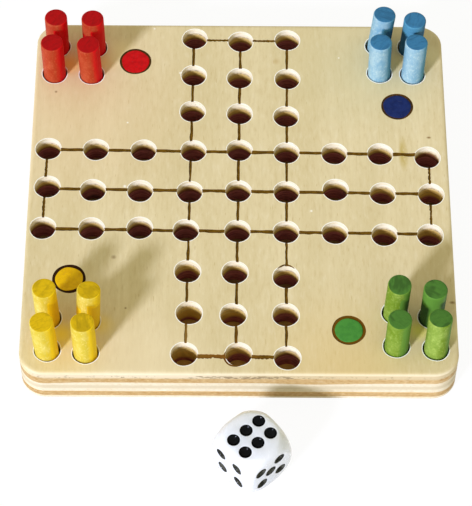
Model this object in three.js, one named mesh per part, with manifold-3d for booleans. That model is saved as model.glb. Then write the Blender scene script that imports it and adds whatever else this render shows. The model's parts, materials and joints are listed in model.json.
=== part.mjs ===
// Travel ludo set: a drilled plywood board, sixteen loose pegs and one die.
// Millimetres, +Z up, +Y to the far side. The origin is the middle of the board's underside,
// which rests on the table beside the die.
import * as THREE from "three";
import { RoundedBoxGeometry } from "three/addons/geometries/RoundedBoxGeometry.js";
import { mergeVertices } from "three/addons/utils/BufferGeometryUtils.js";
import Module from "manifold-3d";

// Pegs: plain cut dowel that drops loosely into a drilled hole.
const PEG_DIAMETER = 6.4;
const PEG_LENGTH = 23.3;
const PEG_CHAMFER = 0.3;
const PEG_SEAT_GAP = 0.3;
const HOLE_CLEARANCE = 0.8;
const HOLE_DIAMETER = PEG_DIAMETER + HOLE_CLEARANCE;

// Playing cross: arms three holes wide and nine long, marked out a little off the board's middle.
const PITCH_ALONG = 13.4;
const PITCH_ACROSS = 13.5;
const ARM_REACH = 4;
const ARM_HALF_WIDTH = 1;
const CROSS_ASIDE = -0.3;
const CROSS_TURN = -0.8;
const ROW_LINE_WIDTH = 1;
const COLUMN_LINE_WIDTH = 0.8;
const LINE_DEPTH = 0.2;

// Board outline: the end holes of the arms leave a wall of wood at the edge.
const EDGE_WALL = 1.8;
const BOARD_SIDE = 2 * (ARM_REACH * PITCH_ALONG + HOLE_DIAMETER / 2 + EDGE_WALL);
const CORNER_RADIUS = 6.8;
const ARRIS_INSET = 1.1;
const ARRIS_DROP = 0.5;

// Veneers from the underside up. The holes go down through the upper three.
const BACK_PLY = 1.35;
const LOWER_CROSSBAND = 2.3;
const CORE_PLY = 4.65;
const UPPER_CROSSBAND = 2.15;
const FACE_PLY = 2.55;
const HOLE_FLOOR = BACK_PLY + LOWER_CROSSBAND;
const BOARD_TOP = HOLE_FLOOR + CORE_PLY + UPPER_CROSSBAND + FACE_PLY;
const HOLE_DEPTH = BOARD_TOP - HOLE_FLOOR;

// Home groups: four holes near each corner, and a ringed start spot between group and arm.
const HOME_INSET = 12.7;
const HOME_SPACING = 10.3;
const HOME_TURN = 0.8;
const START_INSET = 13.5;
const START_ASIDE = 30.2;
const START_DIAMETER = 9.2;
const START_RING = 0.65;
const HOME_AT = BOARD_SIDE / 2 - HOME_INSET;
const START_OUT = BOARD_SIDE / 2 - START_INSET;

// How far a peg can lean: the slope that uses up the play in its hole, less what stays free.
const PLAY_LEFT = 0.06;
const FULL_LEAN = (HOLE_CLEARANCE / 2 - PLAY_LEFT) / (HOLE_DEPTH / 2);

// Die: a cube with rounded edges, its corners ground to one ball, with dished pips. It lies in
// front of the board.
const DIE_SIDE = 16;
const DIE_ROUND = 1.8;
const DIE_BALL = 21.3;
const DIE_AHEAD = 20.3;
const DIE_ASIDE = 3.4;
const DIE_TURN = 40.8;
const PIP_DIAMETER = 3.4;
const PIP_DEPTH = 1;
const PIP_SPREAD = 6.3;
const SIX_LONG = 8.7;
const SIX_SHORT = 4.7;

// Facet counts: round enough to read as round, few enough to stay light.
const HOLE_SIDES = 12;
const PEG_SIDES = 16;
const RING_SIDES = 24;
const CORNER_STEPS = 6;
const ARRIS_STEPS = 2;
const DIE_STEPS = 3;
const BALL_SIDES = 40;
const PIP_SIDES = 10;
const PIP_RINGS = 14;
const OVERCUT = 1;

const wood = (colour) =>
  new THREE.MeshStandardMaterial({ color: colour, roughness: 0.62, metalness: 0 });
const plastic = (colour) =>
  new THREE.MeshStandardMaterial({ color: colour, roughness: 0.18, metalness: 0 });
const PALE_WOOD = 0xe6d3a6;
const BROWN_WOOD = 0xc0935a;
const IVORY_WHITE = 0xf4f4f2;

// Each home group: its side of the board, its stain, how far each hole was drilled off its mark
// toward +X and +Y, and how each peg stands, as shares of the full lean toward +X and +Y.
// The order is front left, front right, rear left, rear right.
const SEATS = ["front_left", "front_right", "rear_left", "rear_right"];
const HOMES = [
  { name: "red", across: -1, along: 1, colour: 0xbe2a20,
    drifts: [[-1.4, 0.5], [-1, 0.1], [-0.7, -0.2], [-0.3, -0.6]],
    leans: [[-0.05, 0.1], [-0.35, -0.2], [0.1, -0.3], [-0.05, -0.3]] },
  { name: "blue", across: 1, along: 1, colour: 0x6fb0d8,
    drifts: [[0, 0], [-0.8, -0.7], [-0.1, -0.5], [-1, -1.1]],
    leans: [[-0.3, 0.1], [0.2, 0.5], [0.9, 0.2], [0.35, -0.9]] },
  { name: "yellow", across: -1, along: -1, colour: 0xf0cb30,
    drifts: [[-0.7, 0.4], [-0.7, -0.4], [-0.7, 0.1], [-0.5, -0.8]],
    leans: [[-0.55, 0.05], [-0.2, 0.5], [-0.3, 0.4], [0.75, 0.6]] },
  { name: "green", across: 1, along: -1, colour: 0x6ba03f,
    drifts: [[0.4, 0.9], [0.7, -0.1], [0.5, 0.9], [0, -0.4]],
    leans: [[0.05, -0.2], [0.15, 0.7], [0.3, 0.1], [0.1, 0]] },
];

// Holes of the cross that were drilled half a millimetre or more off their marks: column, row, and
// how far toward +X and +Y.
const MISDRILLED = [
  [-4, 0, 0.5, 0.4], [-3, 0, -0.2, -0.5], [-2, -1, -0.1, 0.5], [-2, 0, -0.5, -0.5],
  [-1, -4, -0.2, 0.6], [-1, -3, 0.8, 0.1], [-1, -1, -0.8, 0], [-1, 0, -0.1, -0.5],
  [-1, 1, 0.6, 0.1], [-1, 2, 0, 0.5], [0, -4, 0.9, 0.8], [0, -3, -0.7, -0.3],
  [0, -2, -0.5, -0.1], [0, 1, 0.1, 0.6], [0, 3, -0.2, -0.7], [0, 4, -0.1, -0.8],
  [1, -4, 0.5, -0.1], [1, -2, 0, -1.3], [1, 2, -0.2, -0.7], [1, 3, 0.1, -0.7],
  [2, 0, 0.3, 1], [3, -1, 0.2, -0.4], [3, 1, -0.5, 0.1], [4, -1, -0.6, -0.2],
  [4, 1, -0.7, -0.8],
];
// Start spots off their marks, in the order of the quarter turns.
const START_DRIFTS = [[0, -0.1], [-0.2, -0.5], [-0.6, 0.4], [-1, 1]];

const wasm = await Module();
wasm.setup();

// A closed three.js geometry as a solid for cutting and joining.
function solidOf(geometry) {
  const bare = geometry.clone();
  bare.deleteAttribute("normal");
  bare.deleteAttribute("uv");
  const merged = mergeVertices(bare, 1e-4);
  const mesh = new wasm.Mesh({
    numProp: 3,
    vertProperties: merged.attributes.position.array,
    triVerts: new Uint32Array(merged.index.array),
  });
  return new wasm.Manifold(mesh);
}

// The solid back as a three.js geometry.
function geometryOf(solid) {
  const mesh = solid.getMesh();
  const geometry = new THREE.BufferGeometry();
  geometry.setAttribute("position", new THREE.BufferAttribute(mesh.vertProperties, 3));
  geometry.setIndex(new THREE.BufferAttribute(mesh.triVerts, 1));
  geometry.computeVertexNormals();
  return geometry;
}

// A profile of [radius, height] pairs spun about the Z axis; it starts and ends on the axis.
function spun(profile, sides) {
  const points = profile.map(([r, z]) => new THREE.Vector2(r, z));
  return new THREE.LatheGeometry(points, sides).rotateX(Math.PI / 2);
}

// A point of the plan turned about the board's middle.
function turned(x, y, degrees) {
  const about = new THREE.Vector2(0, 0);
  return new THREE.Vector2(x, y).rotateAround(about, THREE.MathUtils.degToRad(degrees));
}

const part = new THREE.Group();
part.name = "ludo_set";

function add(name, geometry, material) {
  const mesh = new THREE.Mesh(geometry, material);
  mesh.name = name;
  part.add(mesh);
  return mesh;
}

// Blank: a square with round corners, its upper and lower arrises sanded to a flat curve.
function boardBlank() {
  const half = BOARD_SIDE / 2;
  const arc = half - CORNER_RADIUS;
  const quarter = Math.PI / 2;
  const outline = new THREE.Shape();
  outline.absarc(arc, arc, CORNER_RADIUS, 0, quarter);
  outline.absarc(-arc, arc, CORNER_RADIUS, quarter, 2 * quarter);
  outline.absarc(-arc, -arc, CORNER_RADIUS, 2 * quarter, 3 * quarter);
  outline.absarc(arc, -arc, CORNER_RADIUS, 3 * quarter, 4 * quarter);
  const blank = new THREE.ExtrudeGeometry(outline, {
    depth: BOARD_TOP - 2 * ARRIS_DROP,
    curveSegments: CORNER_STEPS,
    bevelThickness: ARRIS_DROP,
    bevelSize: ARRIS_INSET,
    bevelOffset: -ARRIS_INSET,
    bevelSegments: ARRIS_STEPS,
  });
  return solidOf(blank.translate(0, 0, ARRIS_DROP));
}

// Hole centres: the cross, then the home groups.
const crossHoles = [];
for (let col = -ARM_REACH; col <= ARM_REACH; col += 1) {
  for (let row = -ARM_REACH; row <= ARM_REACH; row += 1) {
    if (Math.min(Math.abs(col), Math.abs(row)) <= ARM_HALF_WIDTH) {
      const slip = MISDRILLED.find(([c, r]) => c === col && r === row) ?? [col, row, 0, 0];
      const mark = turned(col * PITCH_ACROSS, row * PITCH_ALONG, CROSS_TURN);
      mark.x += CROSS_ASIDE;
      crossHoles.push(mark.add(new THREE.Vector2(slip[2], slip[3])));
    }
  }
}
function homeHole(home, seat) {
  const x = home.across * HOME_AT + (seat % 2 ? 0.5 : -0.5) * HOME_SPACING;
  const y = home.along * HOME_AT + (seat > 1 ? 0.5 : -0.5) * HOME_SPACING;
  return turned(x, y, HOME_TURN).add(new THREE.Vector2(...home.drifts[seat]));
}
const homeHoles = HOMES.flatMap((home) => SEATS.map((_, seat) => homeHole(home, seat)));

// Drill: a straight bore whose flats, not its corners, lie on the hole's circle, so the
// peg's clearance is whole all round.
function drill(centre) {
  const bore = HOLE_DIAMETER / 2 / Math.cos(Math.PI / HOLE_SIDES);
  const profile = [
    [0, HOLE_FLOOR - OVERCUT],
    [bore, HOLE_FLOOR - OVERCUT],
    [bore, BOARD_TOP + OVERCUT],
    [0, BOARD_TOP + OVERCUT],
  ];
  return solidOf(spun(profile, HOLE_SIDES).translate(centre.x, centre.y, 0));
}
const drills = wasm.Manifold.union([...crossHoles, ...homeHoles].map(drill));

// Burnt lines: shallow grooves along the rows and columns of the cross.
function burntLine(width, length, x, y) {
  const groove = new THREE.BoxGeometry(width, length, 2 * LINE_DEPTH);
  groove.translate(x, y, BOARD_TOP).rotateZ(THREE.MathUtils.degToRad(CROSS_TURN));
  return solidOf(groove.translate(CROSS_ASIDE, 0, 0));
}
const lines = [];
for (const at of [-ARM_REACH, -ARM_HALF_WIDTH, 0, ARM_HALF_WIDTH, ARM_REACH]) {
  const reach = Math.abs(at) === ARM_REACH ? ARM_HALF_WIDTH : ARM_REACH;
  lines.push(burntLine(2 * reach * PITCH_ACROSS, ROW_LINE_WIDTH, 0, at * PITCH_ALONG));
  lines.push(burntLine(COLUMN_LINE_WIDTH, 2 * reach * PITCH_ALONG, at * PITCH_ACROSS, 0));
}

// Start spots: a burnt ring round each painted disc, one turn of the board apart.
function startRing(quarterTurns) {
  const outer = START_DIAMETER / 2;
  const low = BOARD_TOP - LINE_DEPTH;
  const high = BOARD_TOP + LINE_DEPTH;
  const disc = solidOf(spun([[0, low], [outer, low], [outer, high], [0, high]], RING_SIDES));
  const inner = outer - START_RING;
  const under = low - OVERCUT;
  const over = high + OVERCUT;
  const spot = solidOf(spun([[0, under], [inner, under], [inner, over], [0, over]], RING_SIDES));
  const centre = turned(-START_ASIDE, START_OUT, -90 * quarterTurns);
  centre.add(new THREE.Vector2(...START_DRIFTS[quarterTurns]));
  return disc.subtract(spot).translate([centre.x, centre.y, 0]);
}
const rings = [0, 1, 2, 3].map(startRing);
const burning = wasm.Manifold.union([...lines, ...rings]);

// Plies: slices of the blank, the upper three drilled, the top one burnt.
const blank = boardBlank();
function slice(low, thickness) {
  const slab = new THREE.BoxGeometry(2 * BOARD_SIDE, 2 * BOARD_SIDE, thickness);
  return blank.intersect(solidOf(slab.translate(0, 0, low + thickness / 2)));
}
const pale = wood(PALE_WOOD);
const brown = wood(BROWN_WOOD);
const crossbandLow = HOLE_FLOOR + CORE_PLY;
const faceLow = crossbandLow + UPPER_CROSSBAND;
const core = slice(HOLE_FLOOR, CORE_PLY).subtract(drills);
const crossband = slice(crossbandLow, UPPER_CROSSBAND).subtract(drills);
const face = slice(faceLow, FACE_PLY).subtract(drills).subtract(burning);
add("back_ply", geometryOf(slice(0, BACK_PLY)), pale);
add("lower_crossband", geometryOf(slice(BACK_PLY, LOWER_CROSSBAND)), brown);
add("core_ply", geometryOf(core), pale);
add("upper_crossband", geometryOf(crossband), brown);
add("face_ply", geometryOf(face), pale);

// Pegs: each stands in its home hole and leans about the middle of the hole's depth.
const pegGeometry = spun([
  [0, 0],
  [PEG_DIAMETER / 2 - PEG_CHAMFER, 0],
  [PEG_DIAMETER / 2, PEG_CHAMFER],
  [PEG_DIAMETER / 2, PEG_LENGTH - PEG_CHAMFER],
  [PEG_DIAMETER / 2 - PEG_CHAMFER, PEG_LENGTH],
  [0, PEG_LENGTH],
], PEG_SIDES);
for (const home of HOMES) {
  const stain = wood(home.colour);
  SEATS.forEach((seat, index) => {
    const [leanX, leanY] = home.leans[index];
    const upright = new THREE.Vector3(0, 0, 1);
    const axis = new THREE.Vector3(leanX * FULL_LEAN, leanY * FULL_LEAN, 1).normalize();
    const lean = axis.angleTo(upright);
    const lift = PEG_SEAT_GAP + (PEG_DIAMETER / 2) * Math.sin(lean);
    const below = (HOLE_DEPTH / 2 - lift) / Math.cos(lean);
    const hole = homeHole(home, index);
    const pivot = new THREE.Vector3(hole.x, hole.y, HOLE_FLOOR + HOLE_DEPTH / 2);
    const peg = add(`${home.name}_peg_${seat}`, pegGeometry.clone(), stain);
    peg.quaternion.setFromUnitVectors(upright, axis);
    peg.position.copy(pivot).addScaledVector(axis, -below);
  });
}

// Die: opposite faces add up to seven. Each face lists its direction, an across direction
// and its pips as [across, up] offsets from the middle of the face.
const corner = PIP_SPREAD / 2;
const long = SIX_LONG / 2;
const short = SIX_SHORT / 2;
const DIAGONAL = [[-corner, corner], [corner, -corner]];
const FOUR = [[-corner, -corner], [-corner, corner], [corner, -corner], [corner, corner]];
const MIDDLE = [[0, 0]];
const SIX = [-long, 0, long].flatMap((along) => [[along, -short], [along, short]]);
const FACES = [
  { out: [0, 0, 1], across: [1, 0, 0], pips: SIX },
  { out: [0, 0, -1], across: [1, 0, 0], pips: MIDDLE },
  { out: [-1, 0, 0], across: [0, 1, 0], pips: FOUR },
  { out: [1, 0, 0], across: [0, 1, 0], pips: [...DIAGONAL, ...MIDDLE] },
  { out: [0, -1, 0], across: [1, 0, 0], pips: [...FOUR, ...MIDDLE] },
  { out: [0, 1, 0], across: [1, 0, 0], pips: DIAGONAL },
];
const pipRadius = ((PIP_DIAMETER / 2) ** 2 + PIP_DEPTH ** 2) / (2 * PIP_DEPTH);
function pipBall(face, [side, up]) {
  const out = new THREE.Vector3(...face.out);
  const across = new THREE.Vector3(...face.across);
  const rise = new THREE.Vector3().crossVectors(out, across);
  const ball = new THREE.SphereGeometry(pipRadius, PIP_SIDES, PIP_RINGS);
  const pole = new THREE.Matrix4().makeBasis(across, out, rise.clone().negate());
  const middle = out.clone().multiplyScalar(DIE_SIDE / 2 - PIP_DEPTH + pipRadius);
  middle.addScaledVector(across, side).addScaledVector(rise, up);
  return solidOf(ball.applyMatrix4(pole.setPosition(middle)));
}
const cube = new RoundedBoxGeometry(DIE_SIDE, DIE_SIDE, DIE_SIDE, DIE_STEPS, DIE_ROUND);
const ball = new THREE.SphereGeometry(DIE_BALL / 2, BALL_SIDES, BALL_SIDES / 2);
const balls = FACES.flatMap((face) => face.pips.map((pip) => pipBall(face, pip)));
const dieSolid = solidOf(cube).intersect(solidOf(ball)).subtract(wasm.Manifold.union(balls));
const die = add("die", geometryOf(dieSolid), plastic(IVORY_WHITE));
die.rotation.z = THREE.MathUtils.degToRad(DIE_TURN);
die.position.set(DIE_ASIDE, -BOARD_SIDE / 2 - DIE_AHEAD, DIE_SIDE / 2);

export default part;
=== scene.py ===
import json

import bpy
import numpy as np
from mathutils import Matrix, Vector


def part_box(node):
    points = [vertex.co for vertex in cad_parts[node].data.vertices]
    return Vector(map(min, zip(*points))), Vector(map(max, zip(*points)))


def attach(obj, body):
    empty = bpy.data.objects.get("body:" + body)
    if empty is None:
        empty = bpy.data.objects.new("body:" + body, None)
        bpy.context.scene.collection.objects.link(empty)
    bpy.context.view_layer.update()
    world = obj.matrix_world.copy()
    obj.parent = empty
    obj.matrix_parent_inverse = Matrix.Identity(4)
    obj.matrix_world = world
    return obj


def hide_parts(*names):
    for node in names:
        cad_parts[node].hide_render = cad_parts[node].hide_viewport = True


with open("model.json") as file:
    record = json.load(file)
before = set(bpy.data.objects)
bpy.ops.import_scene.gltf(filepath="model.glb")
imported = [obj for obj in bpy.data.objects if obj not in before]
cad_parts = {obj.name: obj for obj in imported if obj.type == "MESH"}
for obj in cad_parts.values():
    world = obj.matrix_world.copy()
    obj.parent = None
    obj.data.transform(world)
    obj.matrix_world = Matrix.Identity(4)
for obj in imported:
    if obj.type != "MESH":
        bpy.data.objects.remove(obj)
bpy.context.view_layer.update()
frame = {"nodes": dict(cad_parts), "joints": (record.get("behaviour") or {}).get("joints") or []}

# Back veneer: the lowest of the board's five glued veneers of birch plywood, which were sawn square
# with round corners and sanded together. The two outer veneers and the core run front to back,
# the brown ones across. The underside is plain, and its arris is worn like the top's.
MM = 0.001
SIDE = (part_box("face_ply")[1].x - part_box("face_ply")[0].x) / MM
CORE_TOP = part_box("core_ply")[1].z / MM
SAME_HEIGHT = 0.01
CORNER_RADIUS = 6.8
ARRIS_INSET = 1.1
ARRIS_DROP = 0.5
ARRIS_MARGIN = 0.3
GLUE_STRIP = 1.2
GLUE_WANDER = 0.035
SAG = 0.6
SAG_PLACES = (20, -54)
SAG_REACH = 9
SAG_FADE = 6
RUN_POINTS = 84
BEND_POINTS = 22
ARRIS_STEPS = 9
PLY_CREASE = 12
SQUARE_ON = 0.99999


def outline(inset):
    """Plan of the board as complex numbers, this far inside its edge: the front's straight run,
    then a quarter circle about the corner's middle, and the same again turned three times."""
    half = SIDE / 2 - inset
    radius = CORNER_RADIUS - inset
    straight = np.linspace(radius - half, half - radius, RUN_POINTS) - 1j * half
    angle = np.linspace(-np.pi / 2, 0, BEND_POINTS + 2)[1:-1]
    bend = (half - radius) * (1 - 1j) + radius * np.exp(1j * angle)
    quarter = np.concatenate([straight, bend])
    return np.concatenate([quarter * 1j**turn for turn in range(4)])


def glue_line(height):
    """Rise and fall of one glue line round the board's edge: three slow sine waves whose phases
    come from the line's own height, a tenth of a millimetre at most. Along the front, the line
    over the core also sags in two places, where the brown veneer over it is thicker."""
    around = np.linspace(0, 2 * np.pi, 4 * (RUN_POINTS + BEND_POINTS), endpoint=False)
    wave = np.sin(5 * around + height) + np.sin(11 * around + 2.3 * height)
    wave = GLUE_WANDER * (wave + 0.8 * np.sin(23 * around + 3.1 * height))
    plan = outline(0)
    front = np.clip((-plan.imag - SIDE / 2 + SAG_FADE) / SAG_FADE, 0, 1)
    sag = sum(np.exp(-((plan.real - place) / SAG_REACH) ** 2) for place in SAG_PLACES)
    over_core = abs(height - CORE_TOP) < SAME_HEIGHT
    return wave - (SAG * sag * front if over_core else 0.0)


def loft(rings):
    """Skin of several shells at once, rings[shell, step, point]: four neighbours of two rings
    make a face, and a flat cap closes each shell's first and last ring."""
    shells, steps, around = rings.shape[:3]
    number = np.arange(shells * steps * around).reshape(shells, steps, around)
    ahead = np.roll(number, -1, axis=2)
    sides = np.stack([number[:, :-1], ahead[:, :-1], ahead[:, 1:], number[:, 1:]], axis=-1)
    caps = number[:, 0, ::-1].tolist() + number[:, -1].tolist()
    return rings.reshape(-1, 3), sides.reshape(-1, 4).tolist() + caps


def level(plan, height):
    """Plan points at one height, or at a height of their own each."""
    height = np.broadcast_to(height, plan.shape)
    return np.stack([plan.real, plan.imag, height], axis=-1)


def piece(name, points, faces, finishes, which=None):
    """New object at the origin from points in millimetres; which gives each face its finish."""
    mesh = bpy.data.meshes.new(name)
    mesh.from_pydata((points * MM).tolist(), [], faces)
    for one in finishes:
        mesh.materials.append(one)
    if which is not None:
        mesh.polygons.foreach_set("material_index", np.asarray(which, np.int32))
    mesh.update()
    made = bpy.data.objects.new(name, mesh)
    bpy.context.scene.collection.objects.link(made)
    return made


def carve(blank, cutters):
    """Takes each cutter out of the blank in turn; the cut walls keep the cutter's finish."""
    for cutter in cutters:
        cut = blank.modifiers.new(cutter.name, "BOOLEAN")
        cut.object = cutter
        cut.operation = "DIFFERENCE"
        cut.solver = "EXACT"
        cut.material_mode = "TRANSFER"
    settled = blank.evaluated_get(bpy.context.evaluated_depsgraph_get())
    mesh = bpy.data.meshes.new_from_object(settled)
    blank.modifiers.clear()
    blank.data = mesh
    return blank


def smooth(made, crease, flat_axes=True):
    """Rounds the shading, with edges left sharp where two faces meet at more than the crease angle,
    in degrees. With flat axes, the faces that lie square to an axis stay flat."""
    mesh = made.data
    facing = np.zeros(3 * len(mesh.polygons), np.float32)
    mesh.polygons.foreach_get("normal", facing)
    square = np.abs(facing.reshape(-1, 3)).max(axis=1) > SQUARE_ON
    mesh.polygons.foreach_set("use_smooth", ~square if flat_axes else np.ones_like(square))
    mesh.set_sharp_from_angle(angle=np.radians(crease))
    mesh.update()
    return made


def seen(red, green, blue):
    """A colour given 0 to 255, as the share of light that it reflects, by the sRGB curve."""
    share = np.array([red, green, blue]) / 255
    light = np.where(share > 0.04045, ((share + 0.055) / 1.055) ** 2.4, share / 12.92)
    return (*light.tolist(), 1.0)


def finish(name, fixed):
    """Starts a finish: one shader whose fixed values sit on its own sockets."""
    made = bpy.data.materials.new(name)
    made.use_nodes = True
    shader = made.node_tree.nodes["Principled BSDF"]
    for socket, value in fixed.items():
        shader.inputs[socket].default_value = value
    return made


def wire(made, kind, values, output, **choices):
    """Adds a node to a finish; each value is a number, a colour or another node's output."""
    tree = made.node_tree
    node = tree.nodes.new(kind)
    for key, value in choices.items():
        setattr(node, key, value)
    for key, value in values.items():
        if isinstance(value, bpy.types.NodeSocket):
            tree.links.new(value, node.inputs[key])
        else:
            node.inputs[key].default_value = value
    return node.outputs[output]


def grain(made, per_mm, detail=3.0, shift=(0, 0, 0), place=None):
    """Noise on the piece's own coordinates, so many waves per millimetre along X, Y and Z."""
    if place is None:
        place = wire(made, "ShaderNodeTexCoord", {}, "Object")
    scale = [count / MM for count in per_mm]
    values = {"Vector": place, "Location": shift, "Scale": scale}
    place = wire(made, "ShaderNodeMapping", values, "Vector")
    values = {"Vector": place, "Scale": 1.0, "Detail": detail, "Roughness": 0.55}
    return wire(made, "ShaderNodeTexNoise", values, 0)


def ease(made, value, low, high, to=(0.0, 1.0)):
    """Passes smoothly from the first of two numbers to the second as value goes low to high."""
    values = {"Value": value, "From Min": low, "From Max": high, "To Min": to[0], "To Max": to[1]}
    return wire(made, "ShaderNodeMapRange", values, 0, interpolation_type="SMOOTHSTEP")


def stain(made, share, under, over):
    """One colour laid over another by a share."""
    values = {0: share, 6: under, 7: over}
    return wire(made, "ShaderNodeMix", values, 2, data_type="RGBA")


def coat(made, colour, roughness, height, depth):
    """Joins colour, roughness and a relief so many millimetres deep to the finish's shader."""
    tree = made.node_tree
    shader = tree.nodes["Principled BSDF"]
    tree.links.new(colour, shader.inputs["Base Color"])
    tree.links.new(roughness, shader.inputs["Roughness"])
    values = {"Height": height, "Distance": depth * MM, "Strength": 1.0}
    tree.links.new(wire(made, "ShaderNodeBump", values, "Normal"), shader.inputs["Normal"])
    return made


def veneer(name, along, light, dark, vessel, shift):
    """Bare veneer with its fibres along axis 0 or 1: slow drifts between a light and a dark tone,
    streaks and flecks, and short dark vessels; across the fibres the noise shows as end grain."""
    made = finish(name, {"Specular IOR Level": 0.25})

    def run(over, lengthwise):
        """Waves per millimetre along X, Y and Z: one count along the fibres, another over them."""
        return [lengthwise if axis == along else over for axis in range(3)]

    drift = ease(made, grain(made, run(0.07, 0.014), 2, shift), 0.34, 0.66)
    streak = grain(made, run(0.8, 0.03), 4, shift)
    fleck = grain(made, run(1.1, 0.3), 3, shift)
    fibre = grain(made, run(3.4, 0.2), 2, shift)
    vessels = grain(made, run(2.0, 0.3), 1, shift)
    colour = stain(made, drift, dark, light)
    colour = stain(made, ease(made, streak, 0.36, 0.68, (0, 0.55)), colour, dark)
    colour = stain(made, ease(made, fleck, 0.5, 0.72, (0, 0.24)), colour, vessel)
    colour = stain(made, ease(made, fleck, 0.46, 0.3, (0, 0.16)), colour, seen(250, 240, 214))
    colour = stain(made, ease(made, fibre, 0.52, 0.75, (0, 0.16)), colour, vessel)
    colour = stain(made, ease(made, vessels, 0.68, 0.76, (0, 0.5)), colour, vessel)
    rough = ease(made, fibre, 0.3, 0.7, (0.52, 0.68))
    return made, colour, rough, fibre


def ply(name, profile, finishes, cutters):
    """One veneer: the outline carried up a profile of insets and heights, with wandering glue
    lines at its lower and upper edge, then cut by the bit and the burner."""
    rings = [level(outline(inset), height + (glue_line(height) if loose else 0.0))
             for inset, height, loose in profile]
    made = piece(name, *loft(np.array([rings])), finishes)
    return smooth(carve(made, cutters), PLY_CREASE)


def rounded(centre, start):
    """Insets and heights of a worn arris about a height: a quarter of an ellipse that is wider
    than it is tall, from this angle on."""
    angle = np.radians(np.linspace(start, start + 90, ARRIS_STEPS))
    insets = ARRIS_INSET * (1 - np.cos(angle))
    heights = centre + ARRIS_DROP * np.sin(angle)
    return [(inset, height, False) for inset, height in zip(insets, heights)]


back_finish, colour, rough, fibre = veneer(
    "birch_back", 1, seen(236, 226, 200), seen(226, 210, 174), seen(198, 172, 126), (4, 8, 2))
coat(back_finish, colour, rough, fibre, 0.02)
back_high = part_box("back_ply")[1].z / MM
back_profile = [(ARRIS_INSET + ARRIS_MARGIN, 0, False), *rounded(ARRIS_DROP, -90)]
back_profile += [(0, back_high, True), (GLUE_STRIP, back_high, False)]
back_ply = ply("plain_back", back_profile, [back_finish], [])
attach(back_ply, "board")
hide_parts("back_ply")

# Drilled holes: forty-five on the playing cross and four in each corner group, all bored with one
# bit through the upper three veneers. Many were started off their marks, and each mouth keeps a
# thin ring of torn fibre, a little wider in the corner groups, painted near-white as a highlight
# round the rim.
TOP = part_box("face_ply")[1].z / MM
HOLE_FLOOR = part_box("core_ply")[0].z / MM
HOLE_RADIUS = 3.6
PITCH_ACROSS = 13.5
PITCH_ALONG = 13.4
CROSS_REACH = 4
ARM_REACH = 1
CROSS_ASIDE = -0.3
CROSS_TURN = np.exp(1j * np.radians(-0.8))
BORE_WANDER = (0.03, 0.025)
BIT_PAST = 1
TRACK_MOUTH = 0.22
HOME_MOUTH = 0.25
MOUTH_DEPTH = 0.012
HOLE_SIDES = 64
PEG_COLOURS = ["red", "blue", "yellow", "green"]
SEATS = ["front_left", "front_right", "rear_left", "rear_right"]

pegs = [f"{colour}_peg_{seat}" for colour in PEG_COLOURS for seat in SEATS]
lean = {joint["child"]: np.array(joint["axis"]) for joint in frame["joints"]}
pitches = np.arange(-CROSS_REACH, CROSS_REACH + 1)
columns, rows = np.meshgrid(pitches, pitches)
on_cross = np.minimum(abs(columns), abs(rows)) <= ARM_REACH
marks = CROSS_ASIDE + (PITCH_ACROSS * columns + 1j * PITCH_ALONG * rows)[on_cross] * CROSS_TURN


def drilled_near(places):
    """Middles of the frame's own holes nearest these plan points: the average of the points round
    each hole's rim in the core."""
    mesh = frame["nodes"]["core_ply"].data
    points = np.zeros(3 * len(mesh.vertices))
    mesh.vertices.foreach_get("co", points)
    points = np.unique(np.round(points.reshape(-1, 3) / MM, 3), axis=0)
    rim = points[points[:, 2] > points[:, 2].max() - SAME_HEIGHT]
    rim = rim[:, 0] + 1j * rim[:, 1]
    near = abs(rim - places[:, None]) < PITCH_ALONG / 2
    return near @ rim / near.sum(axis=1)


cross_holes = drilled_near(marks)


def middle(node):
    """Middle of a node's box, in millimetres."""
    low, high = (np.array(corner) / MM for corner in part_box(node))
    return (low + high) / 2


def hole_under(node):
    """Plan point of the hole that a peg stands in: the peg's axis at half the hole's depth."""
    centre, axis = middle(node), lean[node]
    foot = centre + axis * ((HOLE_FLOOR + TOP) / 2 - centre[2]) / axis[2]
    return complex(foot[0], foot[1])


home_holes = np.array([hole_under(node) for node in pegs])


def bored(centres, profile, seed):
    """Rings of round cutters: each radius and height of the profile spun about every centre,
    with a three-lobed and a five-lobed wander of a few hundredths of a millimetre."""
    angle = np.linspace(0, 2 * np.pi, HOLE_SIDES, endpoint=False)
    phase = np.random.default_rng(seed).uniform(0, 2 * np.pi, (2, len(centres), 1))
    three, five = BORE_WANDER
    wander = three * np.sin(3 * angle + phase[0]) + five * np.sin(5 * angle + phase[1])
    radius, height = np.array(profile).T
    reach = radius[None, :, None] + wander[:, None, :]
    plan = centres[:, None, None] + reach * np.exp(1j * angle)
    return level(plan, height[None, :, None])


def torn_wall(name, wood, deep, fleck, flecks):
    """Drilled wall of one veneer: wood colour with rubbed rings round the bore and crushed dark
    flecks where fibres tore, most of them beside the glue lines."""
    made = finish(name, {"Specular IOR Level": 0.15})
    ring = grain(made, (0.2, 0.2, 2.4), 3)
    torn = grain(made, (1.3, 1.3, 2.0), 3)
    colour = stain(made, ease(made, ring, 0.38, 0.64), wood, deep)
    colour = stain(made, ease(made, torn, 0.6, 0.7, (0, flecks)), colour, fleck)
    return made, colour, ease(made, ring, 0.3, 0.7, (0.6, 0.8)), torn


# Painted highlight: the near-white ring round every hole's mouth.
mouth_highlight = finish("mouth_painted_highlight", {"Specular IOR Level": 0.15})
mouth_fuzz = grain(mouth_highlight, (1.2, 1.2, 1.2), 3)
mouth_highlight_colour = stain(mouth_highlight, ease(mouth_highlight, mouth_fuzz, 0.45, 0.68, (0, 0.5)),
                     seen(255, 253, 242), seen(250, 240, 214))
coat(mouth_highlight, mouth_highlight_colour, ease(mouth_highlight, mouth_fuzz, 0.3, 0.7, (0.65, 0.85)),
     mouth_fuzz, 0.03)


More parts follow.
